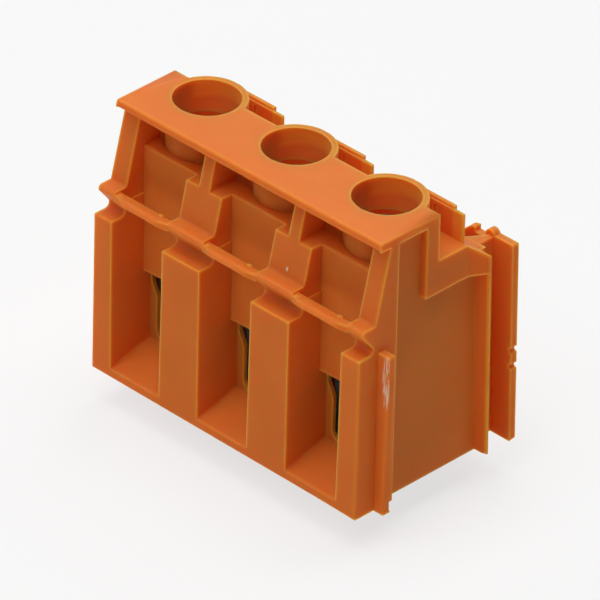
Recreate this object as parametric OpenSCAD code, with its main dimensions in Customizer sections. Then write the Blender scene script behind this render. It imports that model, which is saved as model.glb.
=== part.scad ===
// Board-mounted terminal block: one moulded housing with a row of lift-cage screw clamps.
// Millimetres. +Z rises from the circuit board, the wires enter from -Y, the row runs along X.
// The origin lies on the board, on the axis of the middle screw.

/* [Row of poles] */
// Distance from one pole to the next
pitch = 10.16; // [9.9:0.02:11]

/* [Housing] */
// Height of the housing above the board
housing_h = 25; // [24:0.1:27]
// Distance from the front faces of the fins to the screw axes
screw_setback = 7.7; // [7.5:0.05:8.3]
// Lean of the end faces that lets the moulding leave its tool, in degrees
end_draft = 0.57; // [0:0.01:1]

/* [Wire side] */
// Height of the fins between the wire recesses
fin_h = 15; // [14:0.1:15.4]
// Width of a fin between two poles, at the board
fin_w = 4.47; // [4:0.01:4.8]
// Lean of each fin flank, in degrees
fin_draft = 0.36; // [0:0.02:0.8]
// Depth of the wire recesses
recess_d = 3.67; // [3.2:0.01:3.9]
// Thickness of the recess floor at its front edge
floor_t = 0.85; // [0.6:0.05:1.2]
// Rise of the recess floor from front to back, in degrees
floor_rise = 16; // [0:1:20]
// Lower edge of the lintel over each wire opening
lintel_z = 8.9; // [8.8:0.05:8.95]
// Depth of the wire recesses under the lintel, up to the thin wall with the wire opening
under_d = 4.5; // [4.3:0.05:4.6]
// Width of the lower part of a wire opening
wire_slot_w = 4.16; // [4.1:0.02:4.4]
// Height of the lower end of a wire opening
wire_slot_z = 2.35; // [2.3:0.05:2.4]
// Radius of the lower corners of a wire opening
wire_corner_r = 0.85; // [0.5:0.05:0.95]
// Height at which a wire opening starts to widen
wire_flare_z = 6.3; // [6:0.1:6.6]
// Height over which it widens
wire_flare_rise = 1.3; // [1:0.05:1.6]
// Width of a wire opening under the lintel
wire_flare_w = 5.4; // [5:0.1:5.5]

/* [Lip and windows] */
// Depth of the flat top of a fin
fin_shelf_d = 1.3; // [1:0.05:1.5]
// Height of the top of the lip
lip_z = 17.58; // [17.2:0.02:17.8]
// Distance of the lip's nose behind the front faces
lip_setback = 0.36; // [0.3:0.02:0.6]
// Thickness of the lip from its top to the roof of the wire recesses
lip_t = 1.1; // [0.9:0.02:1.2]
// Distance from the front faces to the back of the lip, which is a free bar in front of each window
lip_d = 1.2; // [1:0.05:1.4]
// Radius of the lip's nose
lip_nose_r = 0.34; // [0.25:0.01:0.4]
// Slope of the lip's underside, in degrees
lip_under_a = 36; // [30:1:42]
// Radius of the cove under the lip
cove_r = 0.45; // [0.3:0.05:0.5]
// How far the lip swells forward in front of each window
lip_swell = 0.26; // [0.1:0.02:0.3]
// How far the lip's top is lowered in front of each window
lip_trough = 0.18; // [0.05:0.01:0.25]
// Length of the ramps at both ends of each swelling
lip_ramp = 1.3; // [0.5:0.05:1.8]
// Distance from the lip's nose to the foot of the pads and webs
web_setback = 1.4; // [1.2:0.05:1.6]
// Width of a pad between two windows
pad_w = 4.05; // [3.6:0.05:4.4]
// Height of the tops of the pads
pad_z = 20.8; // [20:0.1:21.4]
// Backward lean of the pads and webs, in degrees
pad_lean = 13; // [8:0.5:14]
// Thickness of the webs between the upper slots
web_t = 1.2; // [0.8:0.1:1.6]
// Distance from the front faces to the back of the upper slots
slot_d = 5.5; // [5:0.1:6]

/* [Top plate and screw guides] */
// Thickness of the top plate
plate_t = 0.75; // [0.6:0.05:1]
// Distance from the front faces to the front edge of the top plate
plate_front_d = 2.15; // [1.9:0.05:2.6]
// Distance from the front faces to the back edge of the top plate
plate_back_d = 8.8; // [8.5:0.05:9.4]
// Radius of the screwdriver guide bores
guide_r = 2.85; // [2.75:0.01:2.95]
// Length of the screwdriver guide bores
guide_len = 3; // [2.6:0.1:3.2]
// Wall of the round bosses around the screws
boss_wall = 0.55; // [0.45:0.05:0.8]
// Height of the ledge behind the top plate
ledge_z = 20.7; // [20.2:0.1:21]
// Distance from the front faces to the comb wall at the back of the ledge
comb_d = 12.15; // [11.9:0.05:12.3]
// Thickness of each of the two layers of the comb wall
comb_t = 0.27; // [0.22:0.01:0.4]
// Height of the back layer of the comb wall
comb_h = 23.5; // [23.2:0.05:24]
// How much lower the front layer ends
comb_step = 0.26; // [0.2:0.02:0.6]
// Reach of a comb tooth to the left of its screw axis
comb_left = 2.5; // [2:0.05:3]
// Reach of the back layer to the right of its screw axis
comb_right = 3.05; // [2.5:0.01:3.4]
// Reach of the front layer to the right of its screw axis
comb_end = 4.25; // [3.8:0.01:4.4]
// Distance from the screw axis to the slit in each tooth's front
comb_slit_x = 0.95; // [0.5:0.05:1.5]
// Width of that slit
comb_slit_w = 0.22; // [0.1:0.02:0.3]
// Height of the slit's upper end
comb_slit_z = 22.9; // [22.5:0.05:23.1]

/* [Back] */
// Distance from the front faces to the front of the back plate, at the board
back_plate_d = 17.3; // [16.8:0.1:18.5]
// Thickness of the back plate
back_plate_t = 0.7; // [0.5:0.05:1.2]
// Height of the back plate and of the low roof in front of it
back_h = 19.1; // [18:0.1:19.6]
// Forward lean of the back plate and of the rear rib, in degrees
back_lean = 2.1; // [0:0.1:3]
// Distance from the front faces to the channel in front of the back plate
channel_d = 14.9; // [14.9:0.05:15.4]
// Height of the channel's floor
channel_z = 14.5; // [12:0.1:16]
// Thickness of the walls that close the channel's ends
channel_wall_t = 0.55; // [0.4:0.05:1]
// How much the channel widens along the row from its front to the back plate, at each end
channel_slant = 1.1; // [0:0.1:1.5]
// Inset of the back's end walls from the end faces
back_inset = 1.6; // [1.2:0.1:2]
// Distance from a screw axis to the right side of the notch in the back plate's upper edge
notch_x = 0.2; // [0:0.05:0.5]
// Width of that notch
notch_w = 2.1; // [1:0.1:3]
// Depth of that notch
notch_depth = 2.7; // [2.4:0.1:4]
// Width of the dip to the right of the notch
dip_w = 2.4; // [2.2:0.05:2.8]
// Depth of the dip
dip_depth = 0.58; // [0.4:0.02:0.8]
// Width of the tab that stands in the dip beside the notch
tab_w = 1.25; // [1:0.05:1.5]
// Drop of the tab's top below the plate's upper edge
tab_drop = 0.13; // [0:0.01:0.3]
// Width of the tab's sloping corner
tab_slope_w = 0.8; // [0.5:0.05:0.9]
// Height of that corner
tab_slope_h = 0.74; // [0.5:0.02:0.9]
// Distance from a screw axis to the round bump beyond the dip
bump_x = 3.1; // [2.9:0.05:3.3]
// Radius of the bump
bump_r = 0.5; // [0.45:0.01:0.6]
// Rise of the bump above the plate's upper edge
bump_rise = 0.39; // [0.3:0.01:0.42]
// Radius of the small nicks in the back plate's right edge
nick_r = 0.28; // [0.1:0.02:0.3]
// Height of the lower nick
nick_z = 7.3; // [5:0.1:9]
// Distance from the lower nick to the upper one
nick_gap = 1.6; // [1:0.1:3]

/* [End faces] */
// Depth of the recessed panel in each end face
panel_t = 0.63; // [0.4:0.01:0.7]
// Distance from the front faces to the front edge of the panel
panel_d = 4.24; // [4.1:0.02:4.6]
// Distance from the front faces to the front of the raised corner pad
corner_pad_d = 7.4; // [6.8:0.1:8]
// Lower edge of the raised corner pad
corner_pad_z = 17.7; // [17:0.1:18.4]
// Reach of the front joining rib past the end face
front_rib_reach = 1.05; // [0.6:0.05:1.2]
// Thickness of the front joining rib
front_rib_t = 0.84; // [0.6:0.02:1]
// Distance from the front faces to the front joining rib
front_rib_d = 2.12; // [2:0.02:2.4]
// Reach of the rear joining rib past the end face
rear_rib_reach = 0.64; // [0.4:0.02:0.8]
// Distance from the front faces to the rear joining rib, at the board
rear_rib_d = 14.43; // [14.2:0.01:14.8]
// Width of the bevel at the tip of the rear joining rib
rear_rib_bevel_w = 0.5; // [0.3:0.05:0.6]
// Depth of that bevel
rear_rib_bevel = 0.14; // [0.05:0.01:0.2]
// Thickness of the rear joining rib at its tip
rear_rib_tip_t = 0.16; // [0.1:0.02:0.3]
// Thickness of the rear joining rib at its root
rear_rib_root_t = 0.9; // [0.6:0.05:1.2]
// Distance from the front faces to the start of the gusset that braces the rear rib
gusset_d = 12.4; // [12.2:0.05:13]
// Reach of the back plate past the end face
back_reach = 0.55; // [0.3:0.05:0.7]

/* [Clamps] */
// Diameter of the clamping screws
screw_d = 4; // [3.9:0.05:4.1]
// Diameter of a screw head, which the driver guide above it keeps from falling out
head_d = 5.7; // [5.7:0.05:5.8]
// Height of a screw head
head_h = 2; // [1.6:0.1:2.2]
// Width of the slot in a screw head
slot_w = 0.9; // [0.6:0.05:1.1]
// Depth of the slot in a screw head
slot_depth = 1.1; // [0.8:0.05:1.3]
// Width of a clamping yoke
yoke_w = 6.8; // [6.6:0.05:7]
// Depth of a clamping yoke, front to back
yoke_depth = 5.2; // [4.8:0.1:5.4]
// Thickness of the sides of a yoke
yoke_side_t = 1; // [0.8:0.05:1.1]
// Thickness of the threaded top of a yoke
yoke_top_t = 2.5; // [2:0.1:2.8]
// Thickness of the foot of a yoke, which lifts the wire
yoke_foot_t = 1.4; // [1:0.1:1.6]
// Height of the open yoke's foot above the board
yoke_foot_z = 0.6; // [0.4:0.05:0.9]
// Travel of a yoke from open to clamped
yoke_travel = 5.6; // [5:0.1:5.8]
// Thickness of the housing between a clamp's chamber and its screw head
chamber_roof_t = 0.7; // [0.5:0.05:0.9]

/* [Contact bars] */
// Height of the underside of a contact bar
bar_z = 9; // [9:0.02:9.3]
// Thickness of a contact bar
bar_t = 1.2; // [1:0.05:1.4]
// Width of a contact bar
bar_w = 4.4; // [4:0.05:4.5]
// Distance from the front faces to the back of the contact bar's tail
tail_back_d = 15.8; // [15.4:0.05:16]
// Width of a solder pin
pin_w = 1.2; // [0.8:0.05:1.4]
// Length of the solder pins below the board plane
pin_len = 3.2; // [2.5:0.1:3.4]

/* [Clearances] */
// Play of a yoke in its chamber, on each side
yoke_play = 0.2; // [0.1:0.02:0.25]
// Play of a screw in the thread of its yoke, on the radius
thread_play = 0.05; // [0.02:0.01:0.08]
// Play of a screw in the housing, on the radius
screw_play = 0.2; // [0.1:0.02:0.25]
// Gap between faces that only rest on one another
rest_gap = 0.05; // [0.02:0.01:0.1]
// Play of a contact bar in its slot
bar_play = 0.05; // [0.02:0.01:0.1]
// Play of a joining rib in the groove of the next block
groove_play = 0.1; // [0.05:0.01:0.2]

/* [Hidden] */
$fn = 64;

poles = 3;
half_w = poles * pitch / 2;
first_x = -(poles - 1) / 2 * pitch;
far = 60;
// How far features that are joined reach into one another
embed = 1;
// How far cuts run past the faces that they open
past = 0.1;

orange = [0.86, 0.45, 0.16];
zinc = [0.72, 0.73, 0.74];
steel = [0.62, 0.63, 0.65];
tin = [0.78, 0.78, 0.76];

// Heights that follow from the stack of clamp parts
bar_top = bar_z + bar_t;
yoke_top_z = bar_top + rest_gap;
yoke_h = yoke_top_z + yoke_top_t - yoke_foot_z;
chamber_h = yoke_foot_z + yoke_h + yoke_travel + 2 * yoke_play;
head_seat_z = chamber_h + chamber_roof_t;
head_z = head_seat_z + screw_play;
head_bore_r = head_d / 2 + screw_play;

// Widths and depths that follow from the clamp parts
chamber_w = yoke_w + 2 * yoke_play;
chamber_depth = yoke_depth + 2 * yoke_play;
chamber_front_d = screw_setback - chamber_depth / 2;
chamber_back_d = screw_setback + chamber_depth / 2;
boss_r = guide_r + boss_wall;
plate_z = housing_h - plate_t;
web_foot_d = lip_setback + web_setback;
body_half_w = half_w - panel_t;
recess_w = pitch - fin_w;
window_w = pitch - pad_w;
tail_front_d = tail_back_d - bar_t;
recess_top = lip_z - lip_t;
slope_d = comb_d - past;
slope_foot_d = rear_rib_d - past;
rib_tip_x = half_w + rear_rib_reach;

// Centre of a pole along the row, counted from 1
function pole_x(i) = first_x + (i - 1) * pitch;

// Depth of the sloping front of the pads and webs at height z
function web_d(z) = web_foot_d + (z - lip_z) * tan(pad_lean);

// Height of the slope behind the ledge at depth d
function slope_z(d) = ledge_z - (d - slope_d) * (ledge_z - back_h) / (slope_foot_d - slope_d);

// Points on an arc, from angle a to angle b
function arc(c, r, a, b, n = 6) =
  [for (k = [0:n]) c + r * [cos(a + (b - a) * k / n), sin(a + (b - a) * k / n)]];

// Extrudes a (depth, height) outline along the row
module across(x0, x1) {
  translate([x0, 0, 0]) rotate([90, 0, 90]) linear_extrude(x1 - x0) children();
}

// Extrudes an (x, height) outline from front to back
module through(d0, d1) {
  translate([0, d1, 0]) rotate([90, 0, 0]) linear_extrude(d1 - d0) children();
}

// Front view of a body as wide as 2 * half at the board, with the draft of the end faces
module drafted(half) {
  top = half - housing_h * tan(end_draft);
  polygon([[-half, 0], [half, 0], [top, housing_h], [-top, housing_h]]);
}

// Block given by its limits along the row, in depth and in height
module block(x, d, z) {
  translate([x[0], d[0], z[0]]) cube([x[1] - x[0], d[1] - d[0], z[1] - z[0]]);
}

// Outline of the front wall: fin, cove, lip with a round nose, sloping web and top
module front_outline() {
  nose = [lip_setback + lip_nose_r, lip_z - lip_nose_r];
  cove = [fin_shelf_d - cove_r / 3, fin_h + cove_r];
  polygon(concat(
    [[0, 0], [0, fin_h]],
    arc(cove, cove_r, -90, lip_under_a),
    arc(nose, lip_nose_r, 180 + lip_under_a, 90),
    [[web_foot_d, lip_z], [web_d(plate_z), plate_z], [panel_d, plate_z], [panel_d, 0]]
  ));
}

// Part of the lip that swells forward in front of one window
module lip_swelling(x) {
  top = lip_z - lip_trough;
  nose = [lip_setback + lip_nose_r - lip_swell, top - lip_nose_r];
  half = window_w / 2;
  intersection() {
    across(x - half, x + half) polygon(concat(
      arc(nose, lip_nose_r, 90, 180 + lip_under_a), [[lip_d - past, recess_top], [lip_d - past, top]]
    ));
    translate([0, 0, fin_h]) linear_extrude(housing_h - fin_h) polygon([
      [x - half, far], [x - half, lip_setback + past / 2], [x - half + lip_ramp, lip_setback - lip_swell],
      [x + half - lip_ramp, lip_setback - lip_swell], [x + half, lip_setback + past / 2], [x + half, far]
    ]);
  }
}

// Space in front of one wire opening, narrower towards the board by the draft of the fins
module wire_recess(x) {
  lean = tan(fin_draft);
  roof = recess_top;
  intersection() {
    across(x - recess_w, x + recess_w) polygon([
      [-embed, floor_t], [0, floor_t], [under_d, floor_t + under_d * tan(floor_rise)],
      [under_d, lintel_z], [recess_d, lintel_z], [recess_d, roof], [-embed, roof]
    ]);
    through(-embed, under_d) polygon([
      [x - recess_w / 2, 0], [x + recess_w / 2, 0],
      [x + recess_w / 2 + lean * roof, roof], [x - recess_w / 2 - lean * roof, roof]
    ]);
  }
}

// Wire opening through the thin wall between recess and clamp chamber: a slot that widens towards the lintel
module wire_opening(x) {
  slot = wire_slot_w / 2;
  flare = wire_flare_w / 2;
  corner = [slot - wire_corner_r, wire_slot_z + wire_corner_r];
  flare_top = wire_flare_z + wire_flare_rise;
  translate([x, 0, 0]) through(under_d - past, chamber_front_d + past) polygon(concat(
    arc([-corner.x, corner.y], wire_corner_r, 180, 270), arc(corner, wire_corner_r, 270, 360),
    [[slot, wire_flare_z], [flare, flare_top], [flare, lintel_z]],
    [[-flare, lintel_z], [-flare, flare_top], [-slot, wire_flare_z]]
  ));
}

// Window between two pads, open downwards behind the lip, and the deeper slot above it in front of the boss
module window(i) {
  x = pole_x(i);
  left = i == 1 ? x - window_w / 2 : x - pitch / 2 + web_t / 2;
  right = i == poles ? x + window_w / 2 : x + pitch / 2 - web_t / 2;
  sides = [x - window_w / 2, x + window_w / 2];
  block(sides, [-embed, recess_d], [lip_z - lip_trough, pad_z + past]);
  block(sides, [lip_d, recess_d], [recess_top - past, pad_z]);
  block([left, right], [-embed, slot_d], [pad_z, plate_z]);
}

// Chamber of one clamp, open towards the board, with the passage of the screw above it
module clamp_chamber(x) {
  block([x - chamber_w / 2, x + chamber_w / 2], [chamber_front_d, chamber_back_d], [-embed, chamber_h]);
  translate([x, screw_setback, 0]) {
    cylinder(r = screw_d / 2 + screw_play, h = housing_h);
    translate([0, 0, head_seat_z]) cylinder(r = head_bore_r, h = housing_h - guide_len - head_seat_z);
    translate([0, 0, housing_h - guide_len - past]) cylinder(r = guide_r, h = guide_len + past + embed);
  }
}

// Chamber of one contact bar's tail and the slot through which the bar is pushed in from below
module tail_chamber(x) {
  half = bar_w / 2 + bar_play;
  block([x - half, x + half], [chamber_back_d - past, tail_back_d + bar_play], [-embed, bar_top + bar_play]);
}

// Side view of the middle of the housing: ledge, slope and low roof
module middle_outline() {
  polygon([
    [recess_d, 0], [channel_d, 0], [channel_d, back_h], [slope_foot_d, back_h], [slope_d, ledge_z],
    [plate_back_d, ledge_z], [plate_back_d, housing_h - plate_t / 2], [recess_d, housing_h - plate_t / 2]
  ]);
}

// Raised corner pads of the end faces, an L whose foot follows the ledge and the slope
module corner_pads() {
  across(-half_w, half_w) polygon([
    [corner_pad_d, corner_pad_z], [gusset_d, corner_pad_z], [gusset_d, slope_z(gusset_d)], [slope_d, ledge_z],
    [plate_back_d, ledge_z], [plate_back_d, housing_h - plate_t / 2], [corner_pad_d, housing_h - plate_t / 2]
  ]);
}

// Comb tooth behind one boss: a low front layer with a slit and a shorter, higher back layer
module comb_tooth(x) {
  foot = back_h - embed;
  difference() {
    union() {
      block([x - comb_left, x + comb_end], [comb_d, comb_d + comb_t], [foot, comb_h - comb_step]);
      block([x - comb_left, x + comb_right], [comb_d + comb_t / 2, comb_d + 2 * comb_t], [foot, comb_h]);
    }
    block([x + comb_slit_x, x + comb_slit_x + comb_slit_w], [comb_d - past, comb_d + comb_t],
          [ledge_z + embed, comb_slit_z]);
  }
}

// Side view of the back: from depth d0 to the leaning plate, which reaches d1 at the board
module leaning_outline(d0, d1, h) {
  polygon([[d0, 0], [d1, 0], [d1 - h * tan(back_lean), h], [d0, h]]);
}

// Upper edge of the back plate beside one screw axis: what is cut away for the notch and the dip
module edge_cut() {
  translate([notch_x - notch_w, back_h - notch_depth]) square([notch_w, far]);
  translate([notch_x - past, back_h - dip_depth]) square([dip_w + past, far]);
  translate([notch_x, back_h - tab_drop - tab_slope_h])
    polygon([[-past, 0], [0, 0], [tab_slope_w, tab_slope_h], [tab_slope_w, far], [-past, far]]);
}

// What stands on that edge: the tab in the dip and the round bump beyond it
module edge_tabs() {
  foot = back_h - dip_depth - past;
  corner = back_h - tab_drop - tab_slope_h;
  translate([notch_x, 0]) polygon([
    [tab_slope_w * (foot - corner) / tab_slope_h, foot], [tab_w, foot],
    [tab_w, back_h - tab_drop], [tab_slope_w, back_h - tab_drop]
  ]);
  translate([bump_x, back_h + bump_rise - bump_r]) circle(bump_r);
}

// Rear view of the back plate with its notches, its wavy upper edge and the nicks in its right side
module back_plate_outline() {
  left = -half_w + back_reach + groove_play;
  right = half_w + back_reach;
  difference() {
    polygon([[left, 0], [right, 0], [right, back_h], [left, back_h]]);
    for (i = [1:poles]) translate([pole_x(i), 0]) edge_cut();
    for (z = [nick_z, nick_z + nick_gap]) translate([right, z]) circle(nick_r);
  }
  for (i = [1:poles]) translate([pole_x(i), 0]) edge_tabs();
}

// Back plate, leaning forward, and the hollow back that joins it to the middle
module back() {
  half = half_w - back_inset;
  hollow = half - channel_wall_t;
  difference() {
    across(-half, half) leaning_outline(rear_rib_d, back_plate_d + back_plate_t / 2, back_h - past);
    translate([0, 0, channel_z]) linear_extrude(far) polygon([
      [-hollow + channel_slant, channel_d - past], [hollow - channel_slant, channel_d - past],
      [hollow, back_plate_d - embed], [hollow, far], [-hollow, far], [-hollow, back_plate_d - embed]
    ]);
  }
  intersection() {
    across(-far, far) difference() {
      leaning_outline(0, back_plate_d + back_plate_t, housing_h);
      leaning_outline(-embed, back_plate_d, housing_h + embed);
    }
    through(0, far) union() back_plate_outline();
  }
}

// Joining ribs of the right end face, which slide into the grooves of the next block
module joining_ribs() {
  root_x = half_w - 2 * embed;
  block([half_w - embed, half_w + front_rib_reach], [front_rib_d, front_rib_d + front_rib_t], [0, fin_h]);
  intersection() {
    translate([0, rear_rib_d, 0]) rotate([back_lean, 0, 0]) translate([0, 0, -embed])
      linear_extrude(far) polygon([
        [root_x, 0], [rib_tip_x - rear_rib_bevel_w, 0], [rib_tip_x, rear_rib_bevel],
        [rib_tip_x, rear_rib_bevel + rear_rib_tip_t], [root_x, rear_rib_root_t]
      ]);
    block([0, far], [0, far], [0, back_h]);
  }
}

// Gusset that runs out from the corner pad to the tip of the rear rib
module rib_gusset() {
  tip_d = rear_rib_d + rear_rib_bevel - back_h * tan(back_lean);
  intersection() {
    across(half_w - embed, rib_tip_x) polygon([
      [slope_d, corner_pad_z], [tip_d + rear_rib_tip_t, corner_pad_z],
      [tip_d + rear_rib_tip_t, slope_z(tip_d + rear_rib_tip_t)], [slope_d, ledge_z]
    ]);
    linear_extrude(housing_h) polygon([
      [half_w - embed, gusset_d - past], [half_w - ledge_z * tan(end_draft), gusset_d - past],
      [rib_tip_x, tip_d], [rib_tip_x, tip_d + embed], [half_w - embed, tip_d + embed]
    ]);
  }
}

// Groove of the left end face, which takes the front rib of the next block
module joining_groove() {
  block([-half_w - embed, -half_w + front_rib_reach + groove_play],
        [front_rib_d - groove_play, front_rib_d + front_rib_t + groove_play], [-embed, fin_h + groove_play]);
}

// Outer form of the moulding before its bores and chambers are cut
module moulding() {
  difference() {
    union() {
      intersection() {
        union() {
          across(-half_w, half_w) front_outline();
          block([-half_w, half_w], [plate_front_d, plate_back_d], [plate_z, housing_h]);
          corner_pads();
        }
        through(-embed, far) drafted(half_w);
      }
      intersection() {
        across(-half_w, half_w) middle_outline();
        through(-embed, far) drafted(body_half_w);
      }
    }
    for (i = [1:poles]) {
      wire_recess(pole_x(i));
      window(i);
    }
    joining_groove();
  }
  for (i = [1:poles]) {
    translate([pole_x(i), screw_setback, chamber_h]) cylinder(r = boss_r, h = housing_h - chamber_h);
    lip_swelling(pole_x(i));
    comb_tooth(pole_x(i));
  }
  back();
  joining_ribs();
  rib_gusset();
}

// One-piece moulded housing
module housing() {
  color(orange) translate([0, -screw_setback, 0]) difference() {
    moulding();
    for (i = [1:poles]) {
      wire_opening(pole_x(i));
      clamp_chamber(pole_x(i));
      tail_chamber(pole_x(i));
    }
  }
}

// Clamping yoke: a bent and closed steel cage with a threaded top
module clamp_yoke(i) {
  window_z = yoke_foot_z + yoke_foot_t;
  inner_w = yoke_w - 2 * yoke_side_t;
  color(zinc) translate([pole_x(i), 0, 0]) difference() {
    block([-yoke_w / 2, yoke_w / 2], [-yoke_depth / 2, yoke_depth / 2], [yoke_foot_z, yoke_foot_z + yoke_h]);
    block([-inner_w / 2, inner_w / 2], [-far, far], [window_z, yoke_top_z]);
    translate([0, 0, window_z]) cylinder(r = screw_d / 2 + thread_play, h = far);
  }
}

// Clamping screw: slotted cheese head and threaded shank that bears on the contact bar
module clamp_screw(i) {
  color(steel) translate([pole_x(i), 0, 0]) difference() {
    union() {
      translate([0, 0, bar_top + rest_gap]) cylinder(d = screw_d, h = head_z + past - bar_top - rest_gap);
      translate([0, 0, head_z]) cylinder(d = head_d, h = head_h);
    }
    block([-slot_w / 2, slot_w / 2], [-head_d, head_d], [head_z + head_h - slot_depth, far]);
  }
}

// Contact bar: a flat strip through the yoke, bent down behind it into a solder pin
module contact_bar(i) {
  front_d = chamber_front_d + bar_play;
  color(tin) translate([pole_x(i), -screw_setback, 0]) {
    block([-bar_w / 2, bar_w / 2], [front_d, tail_back_d], [bar_z, bar_top]);
    block([-bar_w / 2, bar_w / 2], [tail_front_d, tail_back_d], [0, bar_z + bar_t / 2]);
    block([-pin_w / 2, pin_w / 2], [tail_front_d, tail_back_d], [-pin_len, bar_t]);
  }
}

housing();
clamp_yoke(1);  // clamp_yoke_1
clamp_yoke(2);  // clamp_yoke_2
clamp_yoke(3);  // clamp_yoke_3
clamp_screw(1);  // clamp_screw_1
clamp_screw(2);  // clamp_screw_2
clamp_screw(3);  // clamp_screw_3
contact_bar(1);  // contact_bar_1
contact_bar(2);  // contact_bar_2
contact_bar(3);  // contact_bar_3
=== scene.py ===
# Terminal block with three poles for a circuit board: an orange housing around three screw-driven lift cages.
# Metres, in the frame of the solids: +Z rises from the board, the wires enter from -Y, the row runs along X.
import math

import bmesh
import bpy
from mathutils import Matrix, Vector


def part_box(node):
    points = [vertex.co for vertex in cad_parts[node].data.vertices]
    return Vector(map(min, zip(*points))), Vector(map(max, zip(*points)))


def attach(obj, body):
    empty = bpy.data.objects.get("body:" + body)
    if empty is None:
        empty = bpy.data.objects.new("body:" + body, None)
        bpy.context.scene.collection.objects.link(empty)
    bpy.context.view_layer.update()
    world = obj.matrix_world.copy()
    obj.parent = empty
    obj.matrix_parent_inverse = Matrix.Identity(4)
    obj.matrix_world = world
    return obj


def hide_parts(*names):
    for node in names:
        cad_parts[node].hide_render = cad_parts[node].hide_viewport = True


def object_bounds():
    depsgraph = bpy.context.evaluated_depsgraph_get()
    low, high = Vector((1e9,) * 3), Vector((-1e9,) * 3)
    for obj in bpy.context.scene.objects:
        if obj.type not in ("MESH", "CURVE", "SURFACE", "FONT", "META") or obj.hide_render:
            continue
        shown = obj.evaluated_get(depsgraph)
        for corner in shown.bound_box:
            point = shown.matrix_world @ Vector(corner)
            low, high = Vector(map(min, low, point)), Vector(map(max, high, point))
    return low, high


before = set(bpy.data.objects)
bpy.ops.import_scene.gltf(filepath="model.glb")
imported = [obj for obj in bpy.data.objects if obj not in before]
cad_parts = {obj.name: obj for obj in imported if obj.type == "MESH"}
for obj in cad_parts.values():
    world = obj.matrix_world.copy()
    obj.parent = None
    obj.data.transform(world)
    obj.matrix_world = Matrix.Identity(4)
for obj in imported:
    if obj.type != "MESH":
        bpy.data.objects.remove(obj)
cad_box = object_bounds()
scene = bpy.context.scene

# Housing. One shot of orange polyamide: fins, wire recesses, lip, windows, top plate, bosses, comb and back
# come out of the tool together, every edge slightly round and every face satin with fine grain.
# It stands on the board on its lower rims and is held there by the solder pins.
MM = 0.001
HOUSING_EDGE, EDGE_STEPS = 0.17 * MM, 3
# Corners closer than these are one: in a CAD mesh, in a rounded mesh, and on both sides of a slit in it.
CAD_WELD, ROUND_WELD, SLIT = 0.002 * MM, 0.001 * MM, 0.003 * MM
NO_AREA = 1e-7 * MM ** 2
# Faces that turn by less than these at an edge are one flat, need no rounding, and are shaded as one.
FLAT_TURN, SOFT_TURN, SMOOTH_TURN = math.radians(1), math.radians(28), math.radians(50)
# Two edges at a corner are one line if the angle between them is wider than this.
CARRY_ON = math.radians(140)
# Share of the room beside an edge that its rounding may take, and the sines from which a gap or an edge at
# its end counts as lying across it.
ROOM_SHARE, BESIDE, SIDEWAYS = 0.42, 0.6, 0.64


def pick(piece):
    """Makes one piece the only selected one, and active."""
    bpy.ops.object.select_all(action="DESELECT")
    piece.select_set(True)
    bpy.context.view_layer.objects.active = piece


def copy_of_solid(node_name, piece_name, seams=()):
    """Copy of a CAD node as one closed mesh with whole flat faces, split only where x is one of the seams.

    A seam through the middle of a hole gives its face two plain halves, so that its rim can be rounded."""
    piece = bpy.data.objects.new(piece_name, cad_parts[node_name].data.copy())
    scene.collection.objects.link(piece)
    piece.data.materials.clear()
    pick(piece)
    bpy.ops.object.mode_set(mode="EDIT")
    bpy.ops.mesh.select_all(action="SELECT")
    bpy.ops.mesh.customdata_custom_splitnormals_clear()
    bpy.ops.mesh.remove_doubles(threshold=CAD_WELD)
    bpy.ops.mesh.dissolve_degenerate(threshold=CAD_WELD)
    for x in seams:
        bpy.ops.mesh.select_all(action="SELECT")
        bpy.ops.mesh.bisect(plane_co=(x, 0, 0), plane_no=(1, 0, 0))
        bpy.ops.mesh.mark_seam()
    bpy.ops.mesh.select_all(action="SELECT")
    bpy.ops.mesh.dissolve_limited(angle_limit=FLAT_TURN, delimit={"SEAM"})
    bpy.ops.object.mode_set(mode="OBJECT")
    return piece


def reach_across(spot, along, start, end):
    """How far beside a spot on an edge a stretch of another edge lies, or infinity where it lies ahead."""
    span = end - start
    share = min(1.0, max(0.0, (spot - start).dot(span) / span.length_squared))
    gap = start + share * span - spot
    across = (gap - gap.dot(along) * along).length
    return across if across > BESIDE * gap.length else math.inf


def room_beside(edge):
    """How far the faces on both sides of an edge reach across it before they meet another of their edges."""
    a, b = (corner.co for corner in edge.verts)
    along = (b - a).normalized()
    room = math.inf
    for face in edge.link_faces:
        for other in face.edges:
            start, end = (corner.co for corner in other.verts)
            if other is edge:
                continue
            if edge.verts[0] in other.verts or edge.verts[1] in other.verts:
                span = end - start
                across = (span - span.dot(along) * along).length
                if across > SIDEWAYS * span.length:
                    room = min(room, across)
                continue
            for spot in (a, (a + b) / 2, b):
                room = min(room, reach_across(spot, along, start, end))
            for spot in (start, end):
                room = min(room, reach_across(spot, (end - start).normalized(), a, b))
    return room


def same_line(first, edges):
    """The given edges that carry on an edge at both ends without a corner, the edge itself included."""
    line, waiting = {first}, [first]
    while waiting:
        edge = waiting.pop()
        for corner in edge.verts:
            along = edge.other_vert(corner).co - corner.co
            for other in corner.link_edges:
                onward = other.other_vert(corner).co - corner.co
                if other in edges and other not in line and along.angle(onward) > CARRY_ON:
                    line.add(other)
                    waiting.append(other)
    return line


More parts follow.
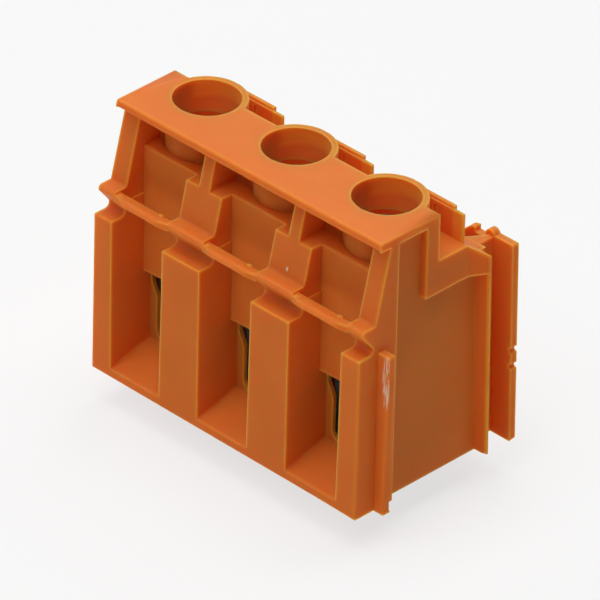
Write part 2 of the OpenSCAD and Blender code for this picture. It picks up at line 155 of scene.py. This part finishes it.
def round_edges(piece, width, steps, turn=SOFT_TURN):
    """Rounds all edges that turn by more than an angle, less where there is no room for the full width."""
    shape = bmesh.new()
    shape.from_mesh(piece.data)
    low = [min(corner.co[k] for corner in shape.verts) for k in range(3)]
    high = [max(corner.co[k] for corner in shape.verts) for k in range(3)]
    share = shape.edges.layers.float.new("bevel_weight_edge")
    sharp = {edge for edge in shape.edges if edge.calc_face_angle(0) > turn}
    while sharp:
        line = same_line(next(iter(sharp)), sharp)
        room = min(room_beside(edge) for edge in line)
        for edge in line:
            edge[share] = min(1.0, ROOM_SHARE * room / width)
        sharp -= line
    shape.to_mesh(piece.data)
    shape.free()
    pick(piece)
    rounding = piece.modifiers.new("rounding", "BEVEL")
    rounding.limit_method = "WEIGHT"
    rounding.width = width
    rounding.segments = steps
    rounding.use_clamp_overlap = False
    rounding.loop_slide = False
    rounding.offset_type = "ABSOLUTE"
    bpy.ops.object.modifier_apply(modifier=rounding.name)
    close_seams(piece, low, high)
    even_shading(piece)


def close_seams(piece, low, high):
    """Puts corners that the rounding threw out of the box back, merges what has no width, takes off flaps."""
    for corner in piece.data.vertices:
        corner.co = [min(high[k], max(low[k], corner.co[k])) for k in range(3)]
    bpy.ops.object.mode_set(mode="EDIT")
    bpy.ops.mesh.select_all(action="SELECT")
    bpy.ops.mesh.remove_doubles(threshold=ROUND_WELD)
    bpy.ops.mesh.dissolve_degenerate(threshold=ROUND_WELD)
    bpy.ops.object.mode_set(mode="OBJECT")
    shape = bmesh.new()
    shape.from_mesh(piece.data)
    flat = [face for face in shape.faces if face.calc_area() < NO_AREA]
    bmesh.ops.delete(shape, geom=flat, context="FACES")
    bmesh.ops.remove_doubles(shape, verts=shape.verts, dist=SLIT)
    flaps = True
    while flaps:
        sides = {face: [len(edge.link_faces) for edge in face.edges] for face in shape.faces}
        flaps = [face for face in sides if min(sides[face]) == 1 and max(sides[face]) > 2]
        bmesh.ops.delete(shape, geom=flaps, context="FACES")
    bmesh.ops.delete(shape, geom=[edge for edge in shape.edges if not edge.link_faces], context="EDGES")
    bmesh.ops.delete(shape, geom=[corner for corner in shape.verts if not corner.link_faces], context="VERTS")
    shape.to_mesh(piece.data)
    shape.free()


def even_shading(piece):
    """Smooth across the roundings, flat on the flats."""
    pick(piece)
    bpy.ops.object.shade_smooth_by_angle(angle=SMOOTH_TURN)
    evening = piece.modifiers.new("evening", "WEIGHTED_NORMAL")
    evening.keep_sharp = True
    bpy.ops.object.modifier_apply(modifier=evening.name)


def combine(piece, tool, how, solver="EXACT"):
    """Cuts the tool out of a piece, or joins it on, and removes the tool."""
    pick(piece)
    work = piece.modifiers.new("work", "BOOLEAN")
    work.operation = how
    work.solver = solver
    work.object = tool
    bpy.ops.object.modifier_apply(modifier=work.name)
    bpy.data.objects.remove(tool)


def colour(hex_value):
    """Linear colour from an sRGB hex value."""
    parts = [int(hex_value[k:k + 2], 16) / 255 for k in (1, 3, 5)]
    return [c / 12.92 if c <= 0.04045 else ((c + 0.055) / 1.055) ** 2.4 for c in parts] + [1.0]


def add_node(tree, kind, settings=None, links=None):
    """Adds a node: settings go to its sockets or properties, links join its sockets to other outputs."""
    new = tree.nodes.new(kind)
    for key, value in (settings or {}).items():
        if isinstance(key, int) or key in new.inputs:
            new.inputs[key].default_value = value
        else:
            setattr(new, key, value)
    for key, source in (links or {}).items():
        tree.links.new(source, new.inputs[key])
    return new


def new_material(name):
    """Empty node material; gives the material, its tree and its principled shader."""
    material = bpy.data.materials.new(name)
    material.use_nodes = True
    tree = material.node_tree
    return material, tree, tree.nodes["Principled BSDF"]


# Orange polyamide, injection moulded: satin and translucent, with faint flow clouds and the grain of an eroded
# tool, which is drawn coarser than it is so that it shows. Painted glow makes it yellower at thin edges and
# brighter in the thin walls of the bosses, where light would shine through.
ORANGE, ORANGE_DEEP, PAINTED_EDGE_GLOW, PAINTED_BOSS_GLOW = "#E77E33", "#E27A30", "#FAA63C", "#FF9C3A"
FLOW_SIZE, GRAIN_SIZE, GRAIN_HEIGHT = 7 * MM, 0.22 * MM, 0.006 * MM
CLOUDED, SATIN = {"From Min": 0.35, "From Max": 0.65}, {"To Min": 0.4, "To Max": 0.52}
POLYAMIDE_IOR, SHINE = 1.5, 0.1
SCATTER, SCATTER_DEPTH = (1.0, 0.3, 0.12), 2.0 * MM
# Painted glow, standing in for light through thin walls: at every edge and round the tops of the bosses.
THIN, THIN_EDGE = 0.32 * MM, {"From Min": 0.95, "From Max": 0.4}
BOSS_WALL, THIN_WALL = 1.0 * MM, {"From Min": 0.55, "From Max": 0.3}
BOSS_AT, BOSS_REACH = (0, 0, 24.2 * MM), (60 * MM, 4.2 * MM, 1.0 * MM)
# Wear: a streaky pale rub mark down the front joining rib and a pale speck on a pad.
SCUFF_PALE, RUBBED = "#F7D9C4", {"From Min": 0.4, "From Max": 0.55}
RUB_AT, RUB_REACH = (16.1 * MM, -5.58 * MM, 12.7 * MM), (0.45 * MM, 0.25 * MM, 2.7 * MM)
RUB_STREAK = (0.12 * MM, 1.5 * MM, 1.5 * MM)
SPECK_AT, SPECK_REACH = (5.03 * MM, -5.79 * MM, 18.25 * MM), (0.12 * MM, 0.12 * MM, 0.22 * MM)
# Two small nubs to a pole, half sunk in the lip, each with a painted highlight around it. x is from the pole's
# axis.
NUB_AT = ((-2.55 * MM, -7.1 * MM, 17.4 * MM), (1.77 * MM, -6.72 * MM, 17.4 * MM))
NUB_REACH, NUB_HIGHLIGHT_SPREAD = (0.3 * MM, 0.2 * MM, 0.15 * MM), 1.1
NUB_SIDES, NUB_RINGS = 20, 10
POLES = (1, 2, 3)
pole_x = [sum(c.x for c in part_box(f"clamp_screw_{pole}")) / 2 for pole in POLES]
# Shares of a spot's reach at which it starts to fade and is gone.
FADING = {"From Min": 0.7, "From Max": 1.1, "To Min": 1.0, "To Max": 0.0}


def spot_mask(tree, place, centre, reach):
    """One inside an ellipsoid, fading to zero just outside it."""
    local = add_node(tree, "ShaderNodeMapping",
                     {"vector_type": "TEXTURE", "Location": centre, "Scale": reach}, {"Vector": place})
    far = add_node(tree, "ShaderNodeVectorMath", {"operation": "LENGTH"}, {0: local.outputs["Vector"]})
    return add_node(tree, "ShaderNodeMapRange", FADING, {"Value": far.outputs["Value"]}).outputs["Result"]


polyamide, tree, shader = new_material("orange_moulded_polyamide")
place = add_node(tree, "ShaderNodeTexCoord").outputs["Object"]
flow = add_node(tree, "ShaderNodeTexNoise", {"Scale": 1 / FLOW_SIZE, "Detail": 2.0, "Roughness": 0.5},
                {"Vector": place})
grain = add_node(tree, "ShaderNodeTexNoise", {"Scale": 1 / GRAIN_SIZE, "Detail": 3.0, "Roughness": 0.6},
                 {"Vector": place})
cloud = add_node(tree, "ShaderNodeMapRange", CLOUDED, {"Value": flow.outputs["Fac"]})
body_colour = add_node(tree, "ShaderNodeMix",
                       {"data_type": "RGBA", 6: colour(ORANGE), 7: colour(ORANGE_DEEP)},
                       {0: cloud.outputs["Result"]})
# Painted glow: convex edges and thin walls, found by inward occlusion, get a yellower, brighter colour.
depth = add_node(tree, "ShaderNodeAmbientOcclusion",
                 {"samples": 6, "inside": True, "only_local": True, "Distance": THIN})
edge_glow = add_node(tree, "ShaderNodeMapRange", THIN_EDGE, {"Value": depth.outputs["AO"]})
painted_glow = edge_glow.outputs["Result"]
nub_spots = [(x + side, y, z) for x in pole_x for side, y, z in NUB_AT]
# Painted highlight: a paler spot round each nub, added to the painted glow.
for spot in nub_spots:
    nub_highlight = spot_mask(tree, place, spot, [NUB_HIGHLIGHT_SPREAD * reach for reach in NUB_REACH])
    painted_glow = add_node(tree, "ShaderNodeMath", {"operation": "MAXIMUM"}, {0: painted_glow, 1: nub_highlight}).outputs[0]
edge_glow_colour = add_node(tree, "ShaderNodeMix", {"data_type": "RGBA", 7: colour(PAINTED_EDGE_GLOW)},
                       {0: painted_glow, 6: body_colour.outputs[2]})
# Painted glow: the thin boss walls near the top plate get a brighter orange, standing in for light through
# them.
wall = add_node(tree, "ShaderNodeAmbientOcclusion",
                {"samples": 4, "inside": True, "only_local": True, "Distance": BOSS_WALL})
wall_thin = add_node(tree, "ShaderNodeMapRange", THIN_WALL, {"Value": wall.outputs["AO"]})
boss_glow = add_node(tree, "ShaderNodeMath", {"operation": "MULTIPLY"},
                     {0: wall_thin.outputs["Result"], 1: spot_mask(tree, place, BOSS_AT, BOSS_REACH)})
boss_glow_colour = add_node(tree, "ShaderNodeMix", {"data_type": "RGBA", 7: colour(PAINTED_BOSS_GLOW)},
                      {0: boss_glow.outputs[0], 6: edge_glow_colour.outputs[2]})
streaked = add_node(tree, "ShaderNodeMapping", {"Scale": [1 / size for size in RUB_STREAK]},
                    {"Vector": place})
streaks = add_node(tree, "ShaderNodeTexNoise", {"Scale": 1.0, "Detail": 2.0},
                   {"Vector": streaked.outputs["Vector"]})
rubbed = add_node(tree, "ShaderNodeMapRange", RUBBED, {"Value": streaks.outputs["Fac"]})
rub = add_node(tree, "ShaderNodeMath", {"operation": "MULTIPLY"},
               {0: rubbed.outputs["Result"], 1: spot_mask(tree, place, RUB_AT, RUB_REACH)})
worn = add_node(tree, "ShaderNodeMath", {"operation": "MAXIMUM"},
                {0: rub.outputs[0], 1: spot_mask(tree, place, SPECK_AT, SPECK_REACH)})
worn_colour = add_node(tree, "ShaderNodeMix", {"data_type": "RGBA", 7: colour(SCUFF_PALE)},
                       {0: worn.outputs[0], 6: boss_glow_colour.outputs[2]})
satin = add_node(tree, "ShaderNodeMapRange", SATIN, {"Value": grain.outputs["Fac"]})
relief = add_node(tree, "ShaderNodeBump", {"Strength": 0.25, "Distance": GRAIN_HEIGHT},
                  {"Height": grain.outputs["Fac"]})
tree.links.new(worn_colour.outputs[2], shader.inputs["Base Color"])
tree.links.new(satin.outputs["Result"], shader.inputs["Roughness"])
tree.links.new(relief.outputs["Normal"], shader.inputs["Normal"])
shader.inputs["IOR"].default_value = POLYAMIDE_IOR
shader.inputs["Specular IOR Level"].default_value = SHINE
shader.inputs["Subsurface Weight"].default_value = 1.0
shader.inputs["Subsurface Radius"].default_value = SCATTER
shader.inputs["Subsurface Scale"].default_value = SCATTER_DEPTH

housing = copy_of_solid("housing", "moulded_housing", seams=pole_x)
round_edges(housing, HOUSING_EDGE, EDGE_STEPS)
for spot in nub_spots:
    bpy.ops.object.select_all(action="DESELECT")
    bpy.ops.mesh.primitive_uv_sphere_add(segments=NUB_SIDES, ring_count=NUB_RINGS, radius=1, location=spot,
                                         scale=NUB_REACH)
    bpy.ops.object.transform_apply(location=True, rotation=True, scale=True)
    combine(housing, bpy.context.object, "UNION", solver="MANIFOLD")
even_shading(housing)
housing.data.materials.clear()
housing.data.materials.append(polyamide)
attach(housing, "root")
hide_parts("housing")

# Contact bars. Strips of tinned brass, cut and bent down behind the yokes. The narrow end is the solder pin.
# They are pushed into the housing from below, and the yokes press the wires against them.
BAR_EDGE, BEND_R, TIP_R = 0.07 * MM, 1.1 * MM, 0.36 * MM
BAR_STEPS, BEND_STEPS, TIP_STEPS = 2, 6, 1
# How near a side an edge counts as on it, and the cosines over which it runs along an axis or under which
# across it.
NEAR, ALONG, ACROSS = 0.01 * MM, 0.9, 0.1
TIN_DULL, TIN_PALE, TIN_ROUGH = "#C9C8C3", "#DAD9D4", {"To Min": 0.28, "To Max": 0.45}
ROLLING = (0.15 * MM, 3 * MM, 3 * MM)


def round_chosen(piece, width, steps, chosen):
    """Bevels the edges for which chosen(midpoint, direction) holds."""
    pick(piece)
    bpy.ops.object.mode_set(mode="EDIT")
    bpy.ops.mesh.select_mode(type="EDGE")
    bpy.ops.mesh.select_all(action="DESELECT")
    shape = bmesh.from_edit_mesh(piece.data)
    for edge in shape.edges:
        a, b = edge.verts
        edge.select_set(chosen((a.co + b.co) / 2, (b.co - a.co).normalized()))
    bmesh.update_edit_mesh(piece.data)
    bpy.ops.mesh.bevel(offset=width, segments=steps, affect="EDGES")
    bpy.ops.object.mode_set(mode="OBJECT")


# Matt tin over brass: grey-white, slightly cloudy, with the strip's rolling marks along the bar, drawn coarse
# enough to show.
tinned, tree, shader = new_material("tinned_brass_strip")
place = add_node(tree, "ShaderNodeTexCoord").outputs["Object"]
rolled = add_node(tree, "ShaderNodeMapping", {"Scale": [1 / size for size in ROLLING]}, {"Vector": place})
marks = add_node(tree, "ShaderNodeTexNoise", {"Scale": 1.0, "Detail": 3.0},
                 {"Vector": rolled.outputs["Vector"]})
tin_rough = add_node(tree, "ShaderNodeMapRange", TIN_ROUGH, {"Value": marks.outputs["Fac"]})
tin_colour = add_node(tree, "ShaderNodeMix",
                      {"data_type": "RGBA", 6: colour(TIN_DULL), 7: colour(TIN_PALE)},
                      {0: marks.outputs["Fac"]})
tree.links.new(tin_colour.outputs[2], shader.inputs["Base Color"])
tree.links.new(tin_rough.outputs["Result"], shader.inputs["Roughness"])
shader.inputs["Metallic"].default_value = 1.0

for pole in POLES:
    node_name = f"contact_bar_{pole}"
    low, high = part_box(node_name)
    bar = copy_of_solid(node_name, f"tinned_contact_bar_{pole}")
    round_chosen(bar, BEND_R, BEND_STEPS, lambda middle, way: abs(way.x) > ALONG
                 and middle.y > high.y - NEAR and middle.z > high.z - NEAR)
    round_chosen(bar, TIP_R, TIP_STEPS, lambda middle, way: abs(way.z) < ACROSS and middle.z < low.z + NEAR)
    round_edges(bar, BAR_EDGE, BAR_STEPS)
    bar.data.materials.append(tinned)
    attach(bar, "root")
    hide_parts(node_name)

# Clamping yokes. Cages bent from zinc-plated steel strip, closed below, with ridges on the foot to grip the
# wire. Each hangs on its screw by the thread in its thick top, here a plain bore because the screw fills it,
# and slides in its chamber.
YOKE_EDGE, OUTER_BEND, INNER_BEND, YOKE_TURN = 0.08 * MM, 0.9 * MM, 0.3 * MM, math.radians(35)
YOKE_STEPS, OUTER_STEPS, INNER_STEPS = 2, 5, 4
SIDE_T, FOOT_T, TOP_T, BORE_R = 1.0 * MM, 1.4 * MM, 2.5 * MM, 2.05 * MM
RIDGES, RIDGE_DEPTH, GROOVE_HALF, GROOVE_SINK = 6, 0.22 * MM, 2 * MM, 0.35
GROOVE_TURN = math.radians(45)
ZINC_DARK, ZINC_PALE, ZINC_ROUGH = "#6F7275", "#888B8E", {"To Min": 0.3, "To Max": 0.46}
MOTTLE = 0.9 * MM


def add_block(name, low, high):
    """Block between two corners, its place in its mesh."""
    bpy.ops.object.select_all(action="DESELECT")
    bpy.ops.mesh.primitive_cube_add(size=1, location=(Vector(low) + Vector(high)) / 2)
    block = bpy.context.object
    block.name = name
    block.scale = Vector(high) - Vector(low)
    bpy.ops.object.transform_apply(location=True, rotation=True, scale=True)
    return block


def add_rod(name, radius, low_z, high_z, x, y, sides=48):
    """Upright round rod, its place in its mesh."""
    bpy.ops.object.select_all(action="DESELECT")
    bpy.ops.mesh.primitive_cylinder_add(vertices=sides, radius=radius, depth=high_z - low_z,
                                        location=(x, y, (low_z + high_z) / 2))
    rod = bpy.context.object
    rod.name = name
    bpy.ops.object.transform_apply(location=True, rotation=True, scale=True)
    return rod


def copy_along_row(piece, name, shift):
    """Copy with a mesh of its own, moved along the row."""
    pick(piece)
    bpy.ops.object.duplicate()
    twin = bpy.context.object
    twin.name = name
    twin.location.x = shift
    bpy.ops.object.transform_apply(location=True, rotation=True, scale=True)
    return twin


# Zinc plating on steel: bluish grey, satin, faintly mottled.
zinc, tree, shader = new_material("zinc_plated_steel_strip")
place = add_node(tree, "ShaderNodeTexCoord").outputs["Object"]
mottle = add_node(tree, "ShaderNodeTexVoronoi", {"Scale": 1 / MOTTLE}, {"Vector": place})
zinc_colour = add_node(tree, "ShaderNodeMix",
                       {"data_type": "RGBA", 6: colour(ZINC_DARK), 7: colour(ZINC_PALE)},
                       {0: mottle.outputs["Color"]})
zinc_rough = add_node(tree, "ShaderNodeMapRange", ZINC_ROUGH, {"Value": mottle.outputs["Color"]})
tree.links.new(zinc_colour.outputs[2], shader.inputs["Base Color"])
tree.links.new(zinc_rough.outputs["Result"], shader.inputs["Roughness"])
shader.inputs["Metallic"].default_value = 1.0

low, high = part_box("clamp_yoke_2")
yoke = add_block("clamp_yoke", low, high)
round_chosen(yoke, OUTER_BEND, OUTER_STEPS, lambda middle, way: abs(way.y) > ALONG)
cage = add_block("cage_window", (low.x + SIDE_T, low.y - MM, low.z + FOOT_T),
                 (high.x - SIDE_T, high.y + MM, high.z - TOP_T))
round_chosen(cage, INNER_BEND, INNER_STEPS, lambda middle, way: abs(way.y) > ALONG)
combine(yoke, cage, "DIFFERENCE")
combine(yoke, add_rod("thread_bore", BORE_R, low.z + FOOT_T + MM, high.z + MM, 0, 0), "DIFFERENCE")
ridge_step = (high.y - low.y) / RIDGES
for k in range(RIDGES - 1):
    groove = add_block("groove", (-GROOVE_HALF, -RIDGE_DEPTH, -RIDGE_DEPTH),
                       (GROOVE_HALF, RIDGE_DEPTH, RIDGE_DEPTH))
    groove_z = low.z + FOOT_T + GROOVE_SINK * RIDGE_DEPTH
    groove.data.transform(Matrix.Translation((0, low.y + (k + 1) * ridge_step, groove_z))
                          @ Matrix.Rotation(GROOVE_TURN, 4, "X"))
    combine(yoke, groove, "DIFFERENCE")
round_edges(yoke, YOKE_EDGE, YOKE_STEPS, turn=YOKE_TURN)
yoke.data.materials.append(zinc)
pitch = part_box("clamp_yoke_3")[0].x - low.x
yokes = {1: copy_along_row(yoke, "zinc_yoke_1", -pitch),
         3: copy_along_row(yoke, "zinc_yoke_3", pitch),
         2: yoke}
yoke.name = "zinc_yoke_2"
for pole, piece in yokes.items():
    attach(piece, f"yoke_{pole}")
    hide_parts(f"clamp_yoke_{pole}")

# Clamping screws. Cold-headed steel with a slotted cheese head and a rolled thread, zinc plated. Each stands
# on its contact bar, its head over the chamber's roof and kept in by the hole above, which is no wider than the
# head, and turns to draw its yoke up.
LEAD, SHANK_R, ROOT_R, CREST_W, ROOT_W = 0.7 * MM, 2.0 * MM, 1.6 * MM, 0.1 * MM, 0.16 * MM
HEAD_H, HEAD_ROUND, INTO_HEAD, TIP_CHAMFER = 2.0 * MM, 0.3 * MM, 0.3 * MM, 0.5 * MM
HEAD_SIDES, HEAD_STEPS = 64, 4
SLOT_W, SLOT_DEPTH, SLOT_HALF = 0.9 * MM, 1.1 * MM, 4 * MM
TURN_STEPS, TURNS_BELOW, SPARE_TURNS, THREAD_WELD, CUT = 36, 2, 4, 0.001 * MM, 0.0001 * MM
STEEL_DARK, STEEL_PALE, STEEL_ROUGH = "#818385", "#97999B", {"To Min": 0.25, "To Max": 0.45}
DULLING = 0.5 * MM

low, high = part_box("clamp_screw_2")
head_foot = high.z - HEAD_H
flank = (LEAD - CREST_W - ROOT_W) / 2
bpy.ops.object.select_all(action="DESELECT")
bpy.ops.mesh.primitive_plane_add(size=MM, location=(0, 0, 0))
screw = bpy.context.object
screw.name = "clamp_screw"
bpy.ops.object.mode_set(mode="EDIT")
bpy.ops.mesh.select_mode(type="VERT")
bpy.ops.mesh.select_all(action="SELECT")
bpy.ops.mesh.merge(type="CENTER")
bpy.ops.mesh.select_all(action="SELECT")
bpy.ops.transform.translate(value=(ROOT_R, 0, low.z - TURNS_BELOW * LEAD))
for out, rise in ((0, ROOT_W), (SHANK_R - ROOT_R, flank), (0, CREST_W), (ROOT_R - SHANK_R, flank)):
    bpy.ops.mesh.extrude_vertices_move(TRANSFORM_OT_translate={"value": (out, 0, rise)})
bpy.ops.object.mode_set(mode="OBJECT")
winding = screw.modifiers.new("winding", "SCREW")
winding.screw_offset = LEAD
winding.iterations = math.ceil((head_foot - low.z) / LEAD) + SPARE_TURNS
winding.steps = winding.render_steps = TURN_STEPS
winding.use_merge_vertices = True
winding.merge_threshold = THREAD_WELD
bpy.ops.object.modifier_apply(modifier=winding.name)
bpy.ops.object.mode_set(mode="EDIT")
bpy.ops.mesh.select_all(action="SELECT")
bpy.ops.mesh.remove_doubles(threshold=THREAD_WELD)
bpy.ops.mesh.bisect(plane_co=(0, 0, low.z), plane_no=(0, 0, 1), threshold=CUT,
                    use_fill=True, clear_inner=True)
bpy.ops.mesh.select_all(action="SELECT")
bpy.ops.mesh.bisect(plane_co=(0, 0, head_foot + INTO_HEAD), plane_no=(0, 0, 1), threshold=CUT,
                    use_fill=True, clear_outer=True)
bpy.ops.mesh.select_all(action="SELECT")
bpy.ops.mesh.normals_make_consistent(inside=False)
bpy.ops.object.mode_set(mode="OBJECT")
for corner in screw.data.vertices:
    radius = Vector((corner.co.x, corner.co.y)).length
    allowed = SHANK_R - TIP_CHAMFER + max(0.0, corner.co.z - low.z)
    if radius > allowed:
        corner.co.x *= allowed / radius
        corner.co.y *= allowed / radius
head = add_rod("screw_head", (high.x - low.x) / 2, head_foot, high.z, 0, 0, sides=HEAD_SIDES)
round_chosen(head, HEAD_ROUND, HEAD_STEPS, lambda middle, way: abs(way.z) < ACROSS
             and middle.z > high.z - NEAR and middle.xy.length > MM)
slot = add_block("slot", (-SLOT_W / 2, -SLOT_HALF, high.z - SLOT_DEPTH),
                 (SLOT_W / 2, SLOT_HALF, high.z + MM))
combine(head, slot, "DIFFERENCE")
combine(screw, head, "UNION")
even_shading(screw)

# Zinc plating on a cold-headed screw: brighter than the strip and unevenly dulled.
screw_zinc, tree, shader = new_material("zinc_plated_screw_steel")
place = add_node(tree, "ShaderNodeTexCoord").outputs["Object"]
dull = add_node(tree, "ShaderNodeTexNoise", {"Scale": 1 / DULLING, "Detail": 3.0}, {"Vector": place})
steel_rough = add_node(tree, "ShaderNodeMapRange", STEEL_ROUGH, {"Value": dull.outputs["Fac"]})
steel_colour = add_node(tree, "ShaderNodeMix",
                        {"data_type": "RGBA", 6: colour(STEEL_DARK), 7: colour(STEEL_PALE)},
                        {0: dull.outputs["Fac"]})
tree.links.new(steel_colour.outputs[2], shader.inputs["Base Color"])
tree.links.new(steel_rough.outputs["Result"], shader.inputs["Roughness"])
shader.inputs["Metallic"].default_value = 1.0
screw.data.materials.append(screw_zinc)
screws = {1: copy_along_row(screw, "zinc_screw_1", -pitch),
          3: copy_along_row(screw, "zinc_screw_3", pitch),
          2: screw}
screw.name = "zinc_screw_2"
for pole, piece in screws.items():
    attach(piece, f"screw_{pole}")
    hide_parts(f"clamp_screw_{pole}")

# Stage. A plain pale floor under the pins and a white backdrop. The camera and the metal see both nearly
# white, the floor with the object's shadow. To all other light the floor is plain pale and the rest is dim.
FLOOR_HALF, FLOOR_PALE, SHADOW_SHARE, AROUND = 1.5, 0.88, 0.3, 0.03
bpy.ops.object.select_all(action="DESELECT")
bpy.ops.mesh.primitive_plane_add(size=2 * FLOOR_HALF, location=(0, 0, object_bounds()[0].z))
floor = bpy.context.object
floor.name = "floor"


def seen_directly(tree):
    """One where a ray comes from the camera, a gloss or a clear piece, else zero."""
    path = add_node(tree, "ShaderNodeLightPath")
    some = add_node(tree, "ShaderNodeMath", {"operation": "MAXIMUM"},
                    {0: path.outputs["Is Camera Ray"], 1: path.outputs["Is Glossy Ray"]})
    return add_node(tree, "ShaderNodeMath", {"operation": "MAXIMUM"},
                    {0: some.outputs[0], 1: path.outputs["Is Transmission Ray"]}).outputs[0]


white_floor, tree, shader = new_material("white_floor")
tree.nodes.remove(shader)
pale = add_node(tree, "ShaderNodeBsdfDiffuse", {"Color": (FLOOR_PALE, FLOOR_PALE, FLOOR_PALE, 1)})
white = add_node(tree, "ShaderNodeEmission", {"Color": (1, 1, 1, 1), "Strength": 1.0})
shown = add_node(tree, "ShaderNodeMixShader", {0: SHADOW_SHARE}, {1: white.outputs[0], 2: pale.outputs[0]})
floor_mix = add_node(tree, "ShaderNodeMixShader", links={0: seen_directly(tree), 1: pale.outputs[0],
                                                         2: shown.outputs[0]})
tree.links.new(floor_mix.outputs[0], tree.nodes["Material Output"].inputs["Surface"])
floor.data.materials.append(white_floor)

world = bpy.data.worlds.new("studio")
scene.world = world
world.use_nodes = True
tree = world.node_tree
around = tree.nodes["Background"]
around.inputs["Color"].default_value = (1, 1, 1, 1)
around.inputs["Strength"].default_value = AROUND
backdrop = add_node(tree, "ShaderNodeBackground", {"Color": (1, 1, 1, 1), "Strength": 1.0})
sky = add_node(tree, "ShaderNodeMixShader", links={0: seen_directly(tree), 1: around.outputs[0],
                                                   2: backdrop.outputs[0]})
tree.links.new(sky.outputs[0], tree.nodes["World Output"].inputs["Surface"])

# Studio light: soft boxes straight above and over the front and the back, and a fill low on the left. Each
# has its name, its direction from the object and its watts.
SOFT_BOX_SIZE, SOFT_BOX_DISTANCE = 0.35, 0.5
SOFT_BOXES = (("top", (0, 0, 1), 1.08), ("front_top", (0, -0.5, 0.86), 0.95),
              ("back_top", (0, 0.5, 0.86), 0.65), ("left_fill", (-0.94, 0, 0.34), 0.56))
middle = (cad_box[0] + cad_box[1]) / 2
for name, toward, watts in SOFT_BOXES:
    lamp = bpy.data.lights.new(name, "AREA")
    lamp.size = SOFT_BOX_SIZE
    lamp.energy = watts
    soft_box = bpy.data.objects.new(name, lamp)
    scene.collection.objects.link(soft_box)
    toward = Vector(toward).normalized()
    soft_box.location = middle + toward * SOFT_BOX_DISTANCE
    soft_box.rotation_euler = toward.to_track_quat("Z", "Y").to_euler()

# Camera, from the photograph: azimuth, elevation and roll in degrees, distance in metres, focal length in
# millimetres, shift as a share of the frame.
AZIMUTH, ELEVATION, ROLL = (math.radians(v) for v in (44.038, 32.715, 1.778))
DISTANCE, AIM = 0.58726, Vector((0, 0.0008, 0.011))
FOCAL_LENGTH, SHIFT, NEAREST = 435.2, (0.0023, -0.0167), 0.01
level = math.cos(ELEVATION)
back = Vector((math.sin(AZIMUTH) * level, -math.cos(AZIMUTH) * level, math.sin(ELEVATION)))
right = Vector((math.cos(AZIMUTH), math.sin(AZIMUTH), 0))
up = back.cross(right)
right, up = math.cos(ROLL) * right + math.sin(ROLL) * up, math.cos(ROLL) * up - math.sin(ROLL) * right
lens = bpy.data.cameras.new("camera")
lens.lens = FOCAL_LENGTH
lens.shift_x, lens.shift_y = SHIFT
lens.clip_start = NEAREST
camera = bpy.data.objects.new("camera", lens)
scene.collection.objects.link(camera)
camera.matrix_world = Matrix((right, up, back)).transposed().to_4x4()
camera.location = AIM + DISTANCE * back
scene.camera = camera
scene.view_settings.view_transform = "Standard"
